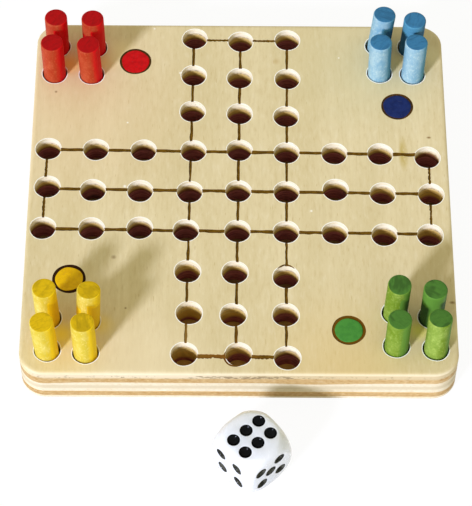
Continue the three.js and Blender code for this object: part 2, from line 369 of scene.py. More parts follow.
def bit_profile(mouth):
    """Profile of the bit: straight up from below the hole's floor, then out across a torn mouth
    of this width and on above the face."""
    bore = [(HOLE_RADIUS, HOLE_FLOOR - BIT_PAST), (HOLE_RADIUS, TOP - MOUTH_DEPTH)]
    wide = HOLE_RADIUS + 2 * mouth
    return [*bore, (HOLE_RADIUS + mouth, TOP), (wide, TOP + MOUTH_DEPTH), (wide, TOP + BIT_PAST)]


bits = np.concatenate([
    bored(cross_holes, bit_profile(TRACK_MOUTH), seed=3),
    bored(home_holes, bit_profile(HOME_MOUTH), seed=4),
])
bit_points, bit_faces = loft(bits)
# Every band over the straight bore is torn mouth, with the painted highlight.
walls = np.zeros((len(bits), bits.shape[1] - 1, HOLE_SIDES), int)
walls[:, 1:] = 1
bit_which = np.concatenate([walls.ravel(), np.zeros(2 * len(bits), int)])


def drill(name, wall):
    """All the holes as one cutter whose walls carry a veneer's own drilled finish."""
    return piece(name, bit_points, bit_faces, [wall, mouth_highlight], bit_which)


# Crossbands and core: two brown veneers laid across the board on either side of a thick pale
# core, which is two veneers glued back to back. They show only at the edge and in the holes,
# whose walls and floors carry painted light and shade: paler near the mouth and on the front
# rows' floors, darker and redder deeper down and toward the rear.
FACE_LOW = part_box("face_ply")[0].z / MM


def band(node, name, finish_made, cutters):
    """A flat veneer between two glue lines."""
    low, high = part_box(node)[0].z / MM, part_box(node)[1].z / MM
    profile = [(GLUE_STRIP, low, False), (0, low, True), (0, high, True), (GLUE_STRIP, high, False)]
    made = ply(name, profile, [finish_made], cutters)
    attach(made, "board")
    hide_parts(node)
    return made


def across(made, axis):
    """The piece's own coordinate along one axis, in millimetres."""
    place = wire(made, "ShaderNodeTexCoord", {}, "Object")
    part = wire(made, "ShaderNodeSeparateXYZ", {0: place}, axis)
    return wire(made, "ShaderNodeMath", {0: part, 1: 1 / MM}, 0, operation="MULTIPLY")


def reckon(made, first, second, how="MULTIPLY"):
    """Product of two values, or what another operation makes of them."""
    return wire(made, "ShaderNodeMath", {0: first, 1: second}, 0, operation=how)


def spot(made, x, y, radius, most=1.0, stretch=1.0):
    """A share at a point of the plan that falls smoothly to nothing at the radius, which is
    longer by the stretch along Y."""
    place = wire(made, "ShaderNodeTexCoord", {}, "Object")
    scale = {"Vector": place, "Scale": (1 / MM, 1 / MM / stretch, 0), "Location": (-x, -y / stretch, 0)}
    place = wire(made, "ShaderNodeMapping", scale, "Vector")
    far = wire(made, "ShaderNodeVectorMath", {0: place}, "Value", operation="LENGTH")
    return ease(made, far, radius, 0, (0, most))


brown_finish, colour, rough, fibre = veneer(
    "brown_crossband", 0, seen(206, 174, 120), seen(188, 154, 98), seen(136, 98, 46), (3, 7, 1))
lower = ease(brown_finish, across(brown_finish, 2), HOLE_FLOOR + 1, HOLE_FLOOR, (0, 0.35))
colour = stain(brown_finish, lower, colour, seen(176, 138, 82))
mottle = grain(brown_finish, (0.8, 0.9, 1.3), 3, (2, 5, 8))
colour = stain(brown_finish, ease(brown_finish, mottle, 0.5, 0.68, (0, 0.55)), colour, seen(172, 128, 62))
colour = stain(brown_finish, ease(brown_finish, mottle, 0.46, 0.32, (0, 0.4)), colour, seen(226, 198, 146))
# Painted light and shade on the bore floors: dark brown, paler and more olive on the front rows.
painted_floor_share = ease(brown_finish, across(brown_finish, 2), HOLE_FLOOR - 0.3, HOLE_FLOOR - 0.1, (0, 0.7))
painted_floor_share = reckon(brown_finish, painted_floor_share,
                  ease(brown_finish, across(brown_finish, 2), HOLE_FLOOR + 2, HOLE_FLOOR + 1))
floor_light_and_shade = stain(brown_finish, ease(brown_finish, across(brown_finish, 1), -24, -46),
                   seen(96, 68, 36), seen(214, 168, 74))
colour = stain(brown_finish, painted_floor_share, colour, floor_light_and_shade)
# One hole on the left is black at the bottom.
colour = stain(brown_finish, reckon(brown_finish, painted_floor_share, spot(brown_finish, -40.6, -0.2, 8)),
               colour, seen(4, 4, 4))
coat(brown_finish, colour, rough, fibre, 0.03)

core_finish, colour, rough, fibre = veneer(
    "pale_core", 1, seen(230, 219, 190), seen(222, 207, 172), seen(194, 166, 118), (9, 2, 5))
from_middle = reckon(core_finish, across(core_finish, 2), middle("core_ply")[2], "SUBTRACT")
from_middle = reckon(core_finish, from_middle, 0, "ABSOLUTE")
beige = ease(core_finish, from_middle, 1.1, 0.5, (0, 0.75))
colour = stain(core_finish, beige, colour, seen(205, 189, 154))
coat(core_finish, colour, rough, fibre, 0.03)

# Plan place and radius of each patch of bores whose painted shade is shorter, and how much shorter.
SHORTER_SHADE_BORES = [
    (-15, -42, 27, 4.6),
    (-14, -27, 9, 1.6),
    (0, -34, 18, 0.5),
    (13, -33, 14, 0.9),
    (14, -55, 9, -0.9),
    (52, -3, 22, 2.4),
    (54, 13, 9, -1.8),
    (33, -14, 13, 1.0),
    (0, 44, 28, 0.8),
    (-14, -13, 30, -1.1),
    (-27, 14, 10, -0.8),
    (14, 6, 12, -0.6),
    (-54, -12, 12, -0.7),
]


def painted_shade_height(made):
    """Height in a bore as its painted shade goes: the true height, more where the shade is shorter
    and less where it is longer, by spots on the plan."""
    height = across(made, 2)
    for x, y, radius, lift in SHORTER_SHADE_BORES:
        height = reckon(made, height, spot(made, x, y, radius, lift), "ADD")
    return height


# Painted light and shade on the brown walls: paler near the face, dark brown further down.
brown_wall, wall_colour, wall_rough, wall_torn = torn_wall(
    "drilled_brown", seen(210, 180, 104), seen(186, 152, 78), seen(104, 74, 34), 0.5)
near_face = ease(brown_wall, across(brown_wall, 2), FACE_LOW - 0.8, FACE_LOW, (0, 0.45))
wall_colour = stain(brown_wall, near_face, wall_colour, seen(222, 200, 148))
painted_shade_share = ease(brown_wall, painted_shade_height(brown_wall), CORE_TOP + 1.6, CORE_TOP - 0.2)
wall_colour = stain(brown_wall, painted_shade_share, wall_colour, seen(116, 68, 46))
coat(brown_wall, wall_colour, wall_rough, wall_torn, 0.05)

# Painted shade on the core walls: dark maroon, with painted light in olive near their top.
core_wall, wall_colour, wall_rough, wall_torn = torn_wall(
    "core_wall_painted_shade", seen(176, 106, 106), seen(142, 76, 82), seen(90, 46, 50), 0.4)
core_painted_light = ease(core_wall, painted_shade_height(core_wall), CORE_TOP - 0.2, CORE_TOP + 1.6)
wall_colour = stain(core_wall, core_painted_light, wall_colour, seen(204, 168, 82))
pit = reckon(core_wall, spot(core_wall, -40.6, -0.5, 9), ease(core_wall, across(core_wall, 2), 6, 4.6))
wall_colour = stain(core_wall, pit, wall_colour, seen(6, 6, 6))
coat(core_wall, wall_colour, wall_rough, wall_torn, 0.05)

brown_drill = drill("brown_drill", brown_wall)
core_drill = drill("core_drill", core_wall)

band("lower_crossband", "under_brown", brown_finish, [])
band("core_ply", "pale_middle", core_finish, [core_drill])
band("upper_crossband", "over_brown", brown_finish, [brown_drill])

# Burnt lines and rings: shallow scorched grooves that join the holes along the cross, the small
# rings that marked two holes and show where the bit missed them, and a recess for each start spot.
LINE_TURN = np.exp(1j * np.radians(-0.63))
LINE_DEPTH = 0.2
LINE_SLOPE = 0.12
LINE_FLARE = 0.3
WIDE_LINE = 1.1
RAGGED_EDGE = 0.12
NEAR_EDGE = 0.06
FAR_EDGE = 0.05
LID_LOW = 0.3
LID_HIGH = 0.5
LINE_STEPS = 220
# Each line: its place on the cross, its slip off that and its width.
ROW_LINES = [(-4, 0.05, 1.2), (-1, -0.06, 1.05), (0, -0.02, 1.05), (1, 0, 1.05), (4, -0.4, 0.75)]
COLUMN_LINES = [(-4, -0.16, 0.76), (-1, -0.07, 0.7), (0, 0, 0.8), (1, 0.06, 0.72), (4, -0.22, 0.66)]
# Each missed mark: its column, its row and its ring's radius.
MISSED_MARKS = [(0, -4, 3.1), (1, -2, 2.8)]
MARK_WIDTH = 0.5
MARK_SLOPE = 0.08
MARK_FLARE = 0.1
START_RADIUS = 4.6
START_SLOPE = 0.1
START_ASIDE = -30.2
START_INSET = 13.5
START_DRIFTS = np.array([-0.1j, -0.2 - 0.5j, -0.6 + 0.4j, -1 + 1j])
START_PLACES = (START_ASIDE + 1j * (SIDE / 2 - START_INSET)) * (-1j) ** np.arange(4) + START_DRIFTS

burnt = finish("burnt_line", {"Specular IOR Level": 0.1})
scorch = grain(burnt, (0.7, 0.7, 0.7), 4)
soot = grain(burnt, (2.6, 2.6, 2.6), 2)
burnt_colour = stain(burnt, ease(burnt, scorch, 0.35, 0.68), seen(88, 61, 8), seen(114, 81, 16))
burnt_colour = stain(burnt, ease(burnt, soot, 0.55, 0.75, (0, 0.4)), burnt_colour, seen(56, 34, 4))
burnt_colour = stain(burnt, spot(burnt, -5, -55, 15, 0.7), burnt_colour, seen(138, 90, 30))
burnt_colour = stain(burnt, spot(burnt, -14.5, -46, 12, 0.7), burnt_colour, seen(150, 116, 54))
coat(burnt, burnt_colour, ease(burnt, soot, 0.3, 0.7, (0.7, 0.9)), scorch, 0.05)

ring_burn = finish("burnt_ring", {"Specular IOR Level": 0.1})
ring_soot = grain(ring_burn, (1.1, 1.1, 1.1), 3)
ring_colour = stain(ring_burn, ease(ring_burn, ring_soot, 0.4, 0.7), seen(62, 42, 12), seen(98, 64, 20))
# The third ring is browner than the others, the fourth one blacker.
for start, tone in [(2, seen(112, 74, 4)), (3, seen(38, 14, 2))]:
    start_at = START_PLACES[start]
    near_start = spot(ring_burn, start_at.real, start_at.imag, 16)
    ring_colour = stain(ring_burn, near_start, ring_colour, tone)
coat(ring_burn, ring_colour, ease(ring_burn, ring_soot, 0.3, 0.7, (0.7, 0.9)), ring_soot, 0.04)


def smoothed(rng, shape, spread):
    """Random numbers along the last axis, averaged over so many steps that they wander slowly."""
    raw = rng.normal(size=shape)
    window = np.hanning(spread + 2)[1:-1]
    wave = np.fft.irfft(np.fft.rfft(raw) * np.fft.rfft(window, shape[-1]), shape[-1])
    return wave / wave.std()


def grooves(lines, turn, pitch, apart, seed):
    """Rings of five straight groove cutters along the rows or columns of the cross, each with its
    place, the slip off it and its width: a shallow trough carried from hole to hole, its two
    edges wandering a few hundredths of a millimetre. A wide one is burnt raggedly on one side."""
    rng = np.random.default_rng(seed)
    at, slip, width = (column[:, None] for column in np.array(lines).T)
    reach = np.where(abs(at) == CROSS_REACH, ARM_REACH, CROSS_REACH) * pitch
    along = np.linspace(-1, 1, LINE_STEPS) * reach
    ragged = np.where(width > WIDE_LINE, RAGGED_EDGE, NEAR_EDGE)
    near = -width / 2 + ragged * smoothed(rng, along.shape, spread=5)
    far = width / 2 + FAR_EDGE * smoothed(rng, along.shape, spread=7)
    edge = np.stack([near + LINE_SLOPE, far - LINE_SLOPE, far + LINE_FLARE, near - LINE_FLARE], axis=-1)
    height = np.array([TOP - LINE_DEPTH, TOP - LINE_DEPTH, TOP + LID_HIGH, TOP + LID_HIGH])
    plan = along[..., None] + 1j * ((at * apart + slip)[..., None] + edge)
    return level(CROSS_ASIDE + plan * turn * LINE_TURN, height)


def recess(radius):
    """Profile of a round shallow recess with a sloped wall."""
    low = TOP - LINE_DEPTH
    return [(radius - START_SLOPE, low), (radius, TOP), (radius + LINE_FLARE, TOP + LID_HIGH)]


def ring_groove(radius):
    """Profile of a narrow ring burnt round a mark: down its inner wall, along the bottom and up
    the outer wall, with its first and last rings clear above the face."""
    inner = radius - MARK_WIDTH
    low = TOP - LINE_DEPTH
    down = [(inner - MARK_FLARE, TOP + LID_LOW), (inner, TOP), (inner + MARK_SLOPE, low)]
    return [*down, (radius - MARK_SLOPE, low), (radius, TOP), (radius + MARK_FLARE, TOP + LID_HIGH)]


row_grooves = grooves(ROW_LINES, 1, PITCH_ACROSS, PITCH_ALONG, seed=5)
column_grooves = grooves(COLUMN_LINES, -1j, PITCH_ALONG, PITCH_ACROSS, seed=6)
line_cutters = [
    piece("row_grooves", *loft(row_grooves), [burnt]),
    piece("column_grooves", *loft(column_grooves), [burnt]),
    piece("start_recesses", *loft(bored(START_PLACES, recess(START_RADIUS), seed=8)), [ring_burn]),
]
for column, row, radius in MISSED_MARKS:
    mark = marks[(columns[on_cross] == column) & (rows[on_cross] == row)]
    ring = bored(mark, ring_groove(radius), seed=7)
    line_cutters.append(piece("missed_ring", *loft(ring), [burnt]))

# Face veneer: the pale playing surface, sanded, with its front arris worn and painted paler as a
# highlight, the pegs' colours painted into the shadows among them as reflected light, and painted
# light in the shadows beside three groups. Its end grain on the front edge is duller and shows a
# broken row of dark voids above the glue line.
face_finish, colour, rough, fibre = veneer(
    "birch_face", 1, seen(229, 213, 169), seen(219, 202, 155), seen(196, 172, 116), (0, 0, 0))
# Plan place, radius, share and colour of each change of tone: first the wood's own, then the
# pegs' colours painted into the shadows among them as reflected light, and last painted light
# that makes the shadows beside three of the groups paler.
TONES_AND_PAINTED_LIGHT = [
    (-50, 28, 46, 0.5, seen(228, 200, 156)),
    (30, -58, 34, 0.6, seen(222, 192, 126)),
    (34, 46, 34, 0.5, seen(210, 198, 150)),
    (-48, -56, 16, 0.4, seen(238, 210, 138)),
    (-26, -57, 26, 0.6, seen(240, 222, 180)),
    (10.6, 45.7, 1.6, 0.5, seen(190, 160, 100)),
    # Painted reflection: the pegs' coloured light in the shadows among them.
    (-49.2, 44.3, 6, 0.8, seen(245, 172, 71)),
    (-39.1, 45.1, 5, 0.6, seen(240, 200, 120)),
    (45.8, 45.7, 5, 0.7, seen(234, 212, 143)),
    (-47.9, -46.8, 6, 0.8, seen(249, 223, 56)),
    (-37.3, -43.9, 5, 0.7, seen(242, 218, 120)),
    (48.5, -44.9, 5, 0.8, seen(239, 229, 98)),
    # Painted light: paler shadows right of the blue, green and red groups.
    (54.6, 48, 6, 0.75, seen(250, 236, 184)),
    (56.6, -45, 5.5, 0.8, seen(252, 242, 180)),
    (-34.5, 48.5, 7, 0.8, seen(246, 230, 174)),
]
for x, y, radius, most, tone in TONES_AND_PAINTED_LIGHT:
    colour = stain(face_finish, spot(face_finish, x, y, radius, most), colour, tone)
# One brown smear runs along the grain on the right.
smear = reckon(face_finish, spot(face_finish, 46.5, 13.2, 1.8, 1.0, 4.0),
               ease(face_finish, grain(face_finish, (0.5, 0.25, 0.5), 3), 0.25, 0.55))
colour = stain(face_finish, smear, colour, seen(186, 160, 62))
# Plan place, radius, share and stretch along Y of each small knot.
KNOTS = [
    (53.9, 18.8, 0.9, 0.95, 0.6),
    (-34.5, -22.1, 1.0, 0.6, 1.0),
    (-52.8, 34.3, 0.6, 0.8, 1.0),
    (58.0, -36.2, 1.2, 0.8, 0.6),
    (-30.8, -38.5, 0.5, 0.8, 1.0),
]
for x, y, radius, most, stretch in KNOTS:
    knot = spot(face_finish, x, y, radius, most, stretch)
    colour = stain(face_finish, knot, colour, seen(122, 84, 24))
# Plan place and radius of each small white chip.
CHIPS = [
    (20.1, -6.5, 0.55),
    (28.9, 47.1, 0.4),
    (-24.9, 57.5, 0.45),
    (-31.9, 23.5, 0.45),
    (-32.1, 1.5, 0.7),
    (-31.7, 0.3, 0.6),
    (-17.1, 41.3, 0.6),
]
for x, y, radius in CHIPS:
    colour = stain(face_finish, spot(face_finish, x, y, radius), colour, seen(255, 250, 236))
# End grain of the front and rear edges, browner to the right and by the glue line.
height = across(face_finish, 2)
out = reckon(face_finish, across(face_finish, 1), 0, "ABSOLUTE")
end_grain = reckon(face_finish, ease(face_finish, height, TOP - 0.3, TOP - 0.9),
                   ease(face_finish, out, SIDE / 2 - 2.5, SIDE / 2 - 0.2))
sawn_edge = stain(face_finish, ease(face_finish, across(face_finish, 0), -14, 8),
                  seen(222, 206, 174), seen(206, 186, 146))
sawn_edge = stain(face_finish, ease(face_finish, height, TOP - 1.6, TOP - 2.4, (0, 0.5)),
                  sawn_edge, seen(196, 172, 126))
colour = stain(face_finish, reckon(face_finish, end_grain, 0.85), colour, sawn_edge)
# Voids above the glue line, most of them near the middle of the front.
voids = grain(face_finish, (0.9, 0.5, 2.2), 5)
low_band = reckon(face_finish, ease(face_finish, height, TOP - 0.8, TOP - 1.3), end_grain)
rotten = reckon(face_finish, spot(face_finish, 2, -59, 26), 0.14)
voids = reckon(face_finish, reckon(face_finish, voids, rotten, "ADD"), 0.075, "SUBTRACT")
voids = reckon(face_finish, ease(face_finish, voids, 0.5, 0.6), low_band)
colour = stain(face_finish, reckon(face_finish, voids, 0.75), colour, seen(120, 100, 66))
# Front arris painted paler: worn, and a painted highlight where it catches the lamp.
wear_and_sheen = ease(face_finish, height, TOP - 0.02, TOP - 0.2)
wear_and_sheen = reckon(face_finish, wear_and_sheen, ease(face_finish, height, TOP - 0.8, TOP - 0.5))
wear_and_sheen = reckon(face_finish, wear_and_sheen, ease(face_finish, across(face_finish, 1), 4 - SIDE / 2, 1 - SIDE / 2))
colour = stain(face_finish, reckon(face_finish, wear_and_sheen, 0.55), colour, seen(236, 224, 192))
coat(face_finish, colour, rough, fibre, 0.02)

# Walls of the holes in this veneer, painted darker toward the glue line as shade, and full of voids by it.
pale_wall, wall_colour, wall_rough, wall_torn = torn_wall(
    "drilled_face", seen(252, 243, 219), seen(243, 228, 190), seen(190, 162, 112), 0.3)
wall_low = ease(pale_wall, across(pale_wall, 2), TOP - 1.6, TOP - 2.5)
wall_voids = reckon(pale_wall, wall_low, ease(pale_wall, grain(pale_wall, (1.1, 1.1, 1.6), 3), 0.48, 0.56))
wall_shade = ease(pale_wall, across(pale_wall, 2), TOP - 1.3, TOP - 2.6, (0, 0.8))
wall_colour = stain(pale_wall, wall_shade, wall_colour, seen(208, 184, 132))
wall_colour = stain(pale_wall, reckon(pale_wall, wall_voids, 0.5), wall_colour, seen(96, 72, 40))
coat(pale_wall, wall_colour, wall_rough, wall_torn, 0.05)

face_drill = drill("face_drill", pale_wall)
face_profile = [(GLUE_STRIP, FACE_LOW, False), (0, FACE_LOW, True)]
face_profile += [*rounded(TOP - ARRIS_DROP, 0), (ARRIS_INSET + ARRIS_MARGIN, TOP, False)]
face_ply = ply("playing_face", face_profile, [face_finish], line_cutters + [face_drill])
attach(face_ply, "board")
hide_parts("face_ply")

for cutter in [*line_cutters, face_drill, brown_drill, core_drill]:
    bpy.data.objects.remove(cutter)

# Start spots: a disc of thick paint in each burnt recess, its rim not quite round, so that the
# scorched ring round it is uneven. The green and the yellow one were filled short.
SPOT_SIDES = 72
SPOT_CREASE = 40
# Colour, quarter of the board, radius, wobble of the rim, and the paint's bright and dull tone.
SPOTS = [
    ("red", 0, 4.02, 0.05, seen(204, 10, 18), seen(182, 6, 14)),
    ("blue", 1, 3.98, 0.05, seen(26, 42, 96), seen(20, 34, 82)),
    ("green", 2, 3.76, 0.03, seen(74, 142, 56), seen(66, 132, 52)),
    ("yellow", 3, 3.78, 0.05, seen(232, 186, 8), seen(216, 168, 8)),
]


def paint_disc(centre, radius, wobble, seed):
    """Thick film: a rim that bulges by two, three and five lobes, carried up from the recess and
    in over the top to its middle, as rings that shrink."""
    angle = np.linspace(0, 2 * np.pi, SPOT_SIDES, endpoint=False)
    phase = np.random.default_rng(seed).uniform(0, 2 * np.pi, 3)
    lobes = sum(np.sin(count * angle + start) for count, start in zip((2, 3, 5), phase))
    share = np.array([0.99, 1.0, 0.985, 0.95, 0.8, 0.6, 0.4, 0.2, 0.01])
    rise = np.array([-LINE_DEPTH, -0.09, -0.03, -0.005, 0.01, 0.015, 0.02, 0.02, 0.02])
    plan = centre + share[:, None] * (radius + wobble * lobes) * np.exp(1j * angle)
    return loft(level(plan, TOP + rise[:, None])[None])


for name, quarter, radius, wobble, bright, dull in SPOTS:
    paint = finish(f"{name}_paint", {"Specular IOR Level": 0.12})
    brush = grain(paint, (0.8, 0.8, 0.8), 4)
    speck = grain(paint, (1.6, 1.6, 1.6), 2)
    colour = stain(paint, ease(paint, brush, 0.38, 0.66), bright, dull)
    pale = stain(paint, 0.12, bright, (1, 1, 1, 1))
    colour = stain(paint, ease(paint, speck, 0.58, 0.72, (0, 0.12)), colour, pale)
    coat(paint, colour, ease(paint, brush, 0.3, 0.7, (0.42, 0.62)), speck, 0.008)
    film = paint_disc(START_PLACES[quarter], radius, wobble, seed=quarter)
    disc = piece(f"{name}_start_spot", *film, [paint])
    smooth(disc, SPOT_CREASE, flat_axes=False)
    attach(disc, "board")

# Pegs: lengths of quarter inch dowel, sawn a little askew, tumbled and dyed, four of each colour.
# They stand loose in their holes. The cut ends and their rims drank more dye than the sides. The
# sides carry painted light and shade: a paler dye where the lamp reaches them past the other
# pegs, a deeper one in their shadow, and a painted sheen on the lit side.
PEG_RADIUS = 3.2
PEG_LENGTH = 23.3
PEG_RIM = 0.38
RIM_STEPS = 5
PEG_SWELL = 0.02
PEG_TWIST = 0.35
END_RADII = np.array([0.02, 0.7, 1.4, 2.1])
END_BANDS = 5
SAW_SLOPE = 0.012
SAW_SPREAD = 60
PEG_CREASE = 50
PEG_SIDES = 56
PEG_STEPS = 44
WINDOW = np.array([-0.585, -0.81, 0.52])
SHADE_BLUR = 1.4
SHADE_WEIGHT = 2
# Each dye on a side as painted light and as painted shade, on a soaked end, and as a painted sheen.
DYES = {
    "red": (seen(168, 55, 25), seen(212, 8, 18), seen(173, 12, 16), seen(192, 92, 56)),
    "blue": (seen(124, 167, 187), seen(78, 140, 168), seen(60, 123, 166), seen(174, 200, 202)),
    "yellow": (seen(206, 183, 58), seen(246, 208, 22), seen(219, 181, 18), seen(236, 220, 130)),
    "green": (seen(108, 136, 32), seen(92, 138, 50), seen(75, 121, 48), seen(156, 180, 84)),
}
# Each dye as painted shadow, deep in the shade of the other pegs.
PAINTED_SHADOW_DYES = {
    "red": seen(200, 10, 22),
    "blue": seen(30, 76, 114),
    "yellow": seen(220, 176, 30),
    "green": seen(32, 60, 42),
}
# How dark the blotches on the ends are.
BLOTCHES = {"red": 0.2, "blue": 0.4, "yellow": 0.5, "green": 0.9}
# Rise of a slanted upper end per millimetre along Y.
SLANTS = {
    "red_peg_rear_left": -0.03,
    "red_peg_rear_right": -0.07,
    "blue_peg_front_left": -0.04,
    "blue_peg_front_right": -0.03,
    "blue_peg_rear_left": -0.04,
    "blue_peg_rear_right": -0.1,
    "yellow_peg_rear_left": 0.03,
    "yellow_peg_rear_right": -0.06,
    "green_peg_front_right": -0.04,
    "green_peg_rear_left": 0.07,
}
# Pegs given more, or less, painted light than the light on them says.
PAINTED_LIGHT_SHIFTS = {
    "blue_peg_front_left": 0.2,
    "blue_peg_front_right": 0.2,
    "blue_peg_rear_right": -1.3,
    "green_peg_front_left": -0.15,
    "green_peg_front_right": 0.35,
    "green_peg_rear_right": -0.8,
}
peg_middles = np.array([middle(node) for node in pegs])


def shade(points):
    """How much the other pegs shade each point, none to one: the way from the point toward the
    window meets another peg below its top, with an edge blurred by a millimetre or so."""
    gap = peg_middles - points[:, None]
    along = gap[..., 0] * WINDOW[0] + gap[..., 1] * WINDOW[1]
    aside = abs(gap[..., 0] * WINDOW[1] - gap[..., 1] * WINDOW[0])
    over = gap[..., 2] + PEG_LENGTH / 2 - along * WINDOW[2]
    inside = np.minimum(PEG_RADIUS - aside, over) / SHADE_BLUR + 0.5
    return (np.clip(inside, 0, 1) * (along > PEG_RADIUS)).max(axis=1)


def dowel(centre, axis, slant, seed):
    """Round rod about an axis: rings run from the middle of the lower end out to its rim, round
    that, up the side and in again. The side swells and thins by hundredths, and the upper end is
    sawn on a slant along Y. After the points, the faces and the finish of each face come how
    squarely each point faces the window, less what other pegs shade, and each point's place in
    a plan turned at random, for the saw marks."""
    rng = np.random.default_rng(seed)
    angle = np.linspace(0, 2 * np.pi, PEG_SIDES, endpoint=False)
    turn = np.radians(np.linspace(0, 90, RIM_STEPS))
    rim_radius = PEG_RADIUS - PEG_RIM * (1 - np.sin(turn))
    rim_height = PEG_RIM * (1 - np.cos(turn))
    climb = np.linspace(PEG_RIM, PEG_LENGTH - PEG_RIM, PEG_STEPS)[1:-1]
    flat = np.zeros(len(END_RADII))
    side_radius = np.full(len(climb), PEG_RADIUS)
    radius = np.concatenate([END_RADII, rim_radius, side_radius, rim_radius[::-1], END_RADII[::-1]])
    rim_top = PEG_LENGTH - rim_height[::-1]
    height = np.concatenate([flat, rim_height, climb, rim_top, PEG_LENGTH + flat])
    swell = PEG_SWELL * np.sin(2 * angle + PEG_TWIST * height[:, None] + rng.uniform(0, 6))
    reach = radius[:, None] * (1 + swell / PEG_RADIUS)
    upper = height[:, None] > PEG_LENGTH / 2
    saw_slope = rng.normal(0, SAW_SLOPE, 2) + [0, slant]
    sawn = reach * (saw_slope[0] * np.cos(angle) + saw_slope[1] * np.sin(angle)) * upper
    rise = height[:, None] + sawn - PEG_LENGTH / 2
    side = np.array([1.0, 0, 0]) - axis * axis[0]
    side /= np.linalg.norm(side)
    outward = np.cos(angle)[:, None] * side + np.sin(angle)[:, None] * np.cross(axis, side)
    points = centre + reach[..., None] * outward + rise[..., None] * axis
    ends = np.zeros((len(radius) - 1, PEG_SIDES), int)
    ends[:END_BANDS] = 1
    ends[-END_BANDS:] = 1
    which = np.concatenate([ends.ravel(), [1, 1]])
    facing = np.tile(outward[:, :2] @ WINDOW[:2], len(radius))
    facing = facing - SHADE_WEIGHT * shade(points.reshape(-1, 3))
    sawing = rng.uniform(0, SAW_SPREAD) + reach * np.exp(1j * (angle + rng.uniform(0, np.pi)))
    return *loft(points[None]), which, facing, level(sawing, height[:, None]).reshape(-1, 3)


for name, (lit_side_dye, shade_side_dye, soaked, sheen_dye) in DYES.items():
    side_dye = finish(f"{name}_dyed_side", {"Specular IOR Level": 0.1})
    facing = wire(side_dye, "ShaderNodeAttribute", {}, "Fac", attribute_name="painted_light_facing")
    streak = grain(side_dye, (1.0, 1.0, 0.12), 4)
    cloud = grain(side_dye, (0.35, 0.35, 0.25), 3)
    pore = grain(side_dye, (1.9, 1.9, 1.1), 3)
    uneven = reckon(side_dye, reckon(side_dye, streak, 0.5, "SUBTRACT"), 0.6)
    # Painted light: the side is mixed toward the paler dye where it faces the lamp.
    painted_light_share = ease(side_dye, reckon(side_dye, facing, uneven, "ADD"), 0.18, 0.75)
    colour = stain(side_dye, painted_light_share, shade_side_dye, lit_side_dye)
    # Painted sheen, in patches on the lit side, strongest where it faces the lamp most squarely.
    wear_and_sheen = reckon(side_dye, ease(side_dye, pore, 0.52, 0.7, (0, 0.5)),
                  ease(side_dye, cloud, 0.4, 0.7, (0, 0.4)), "ADD")
    wear_and_sheen = reckon(side_dye, wear_and_sheen, ease(side_dye, facing, 0.95, 1.3, (0, 0.4)), "ADD")
    colour = stain(side_dye, reckon(side_dye, wear_and_sheen, painted_light_share), colour, sheen_dye)
    # Painted shadow: a deeper dye where the other pegs shade the side.
    painted_shadow_share = ease(side_dye, facing, -0.5, -1.7, (0, 0.75))
    colour = stain(side_dye, painted_shadow_share, colour, PAINTED_SHADOW_DYES[name])
    colour = stain(side_dye, ease(side_dye, pore, 0.45, 0.3, (0, 0.25)), colour, soaked)
    coat(side_dye, colour, ease(side_dye, streak, 0.3, 0.7, (0.5, 0.66)), streak, 0.03)
    end_dye = finish(f"{name}_dyed_end", {"Specular IOR Level": 0.08})
    sawing = wire(end_dye, "ShaderNodeAttribute", {}, "Vector", attribute_name="sawing")
    pith = grain(end_dye, (1.2, 1.2, 1.2), 4, place=sawing)
    saw = grain(end_dye, (0.2, 1.4, 0.2), 3, place=sawing)
    blot = grain(end_dye, (0.15, 0.32, 0.15), 2, place=sawing)
    dark = stain(end_dye, 0.45, soaked, seen(20, 20, 16))
    colour = stain(end_dye, ease(end_dye, pith, 0.42, 0.72, (0, 0.35)), soaked, dark)
    colour = stain(end_dye, ease(end_dye, saw, 0.54, 0.7, (0, 0.55)), colour, dark)
    colour = stain(end_dye, ease(end_dye, saw, 0.47, 0.3, (0, 0.15)), colour, shade_side_dye)
    colour = stain(end_dye, ease(end_dye, blot, 0.5, 0.64, (0, BLOTCHES[name])), colour, dark)
    coat(end_dye, colour, ease(end_dye, pith, 0.3, 0.7, (0.55, 0.7)), saw, 0.03)
    for number, seat in enumerate(SEATS):
        node = f"{name}_peg_{seat}"
        points, faces, which, facing, sawing = dowel(
            middle(node), lean[node], SLANTS.get(node, 0), seed=number + 10 * len(name))
        facing = facing + PAINTED_LIGHT_SHIFTS.get(node, 0)
        peg = piece(f"{name}_dowel_{seat}", points, faces, [side_dye, end_dye], which)
        peg.data.attributes.new("painted_light_facing", "FLOAT", "POINT").data.foreach_set("value", facing)
        own_place = peg.data.attributes.new("sawing", "FLOAT_VECTOR", "POINT")
        own_place.data.foreach_set("vector", (sawing * MM).ravel())
        smooth(peg, PEG_CREASE, flat_axes=False)
        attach(peg, node)
        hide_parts(node)

# Die: a moulded white plastic cube, its edges rounded and its corners ground to one ball, polished,
# with black paint in its twenty-one dished pips, painted greyer on the sides as a reflection.
# Opposite faces add up to seven, and the patterns on the sides were drilled a few degrees askew.
DIE_SIDE = 16.0
DIE_ROUND = 1.8
DIE_BALL_RADIUS = 10.65
DIE_BLEND = 0.15
DIE_TURN = np.radians(40.8)
DIE_FLAT = 46
DIE_BEND = 10
DIE_CREASE = 24
SEAM_WELD = 0.00001
PIP_RADIUS = 1.72
PIP_DEPTH = 1.0
PIP_POLE = 2
PIP_STEPS = 60
PIP_SIDES = 48
PIP_SPREAD = 3.15
SIX_LONG = 4.35
SIX_SHORT = 2.35


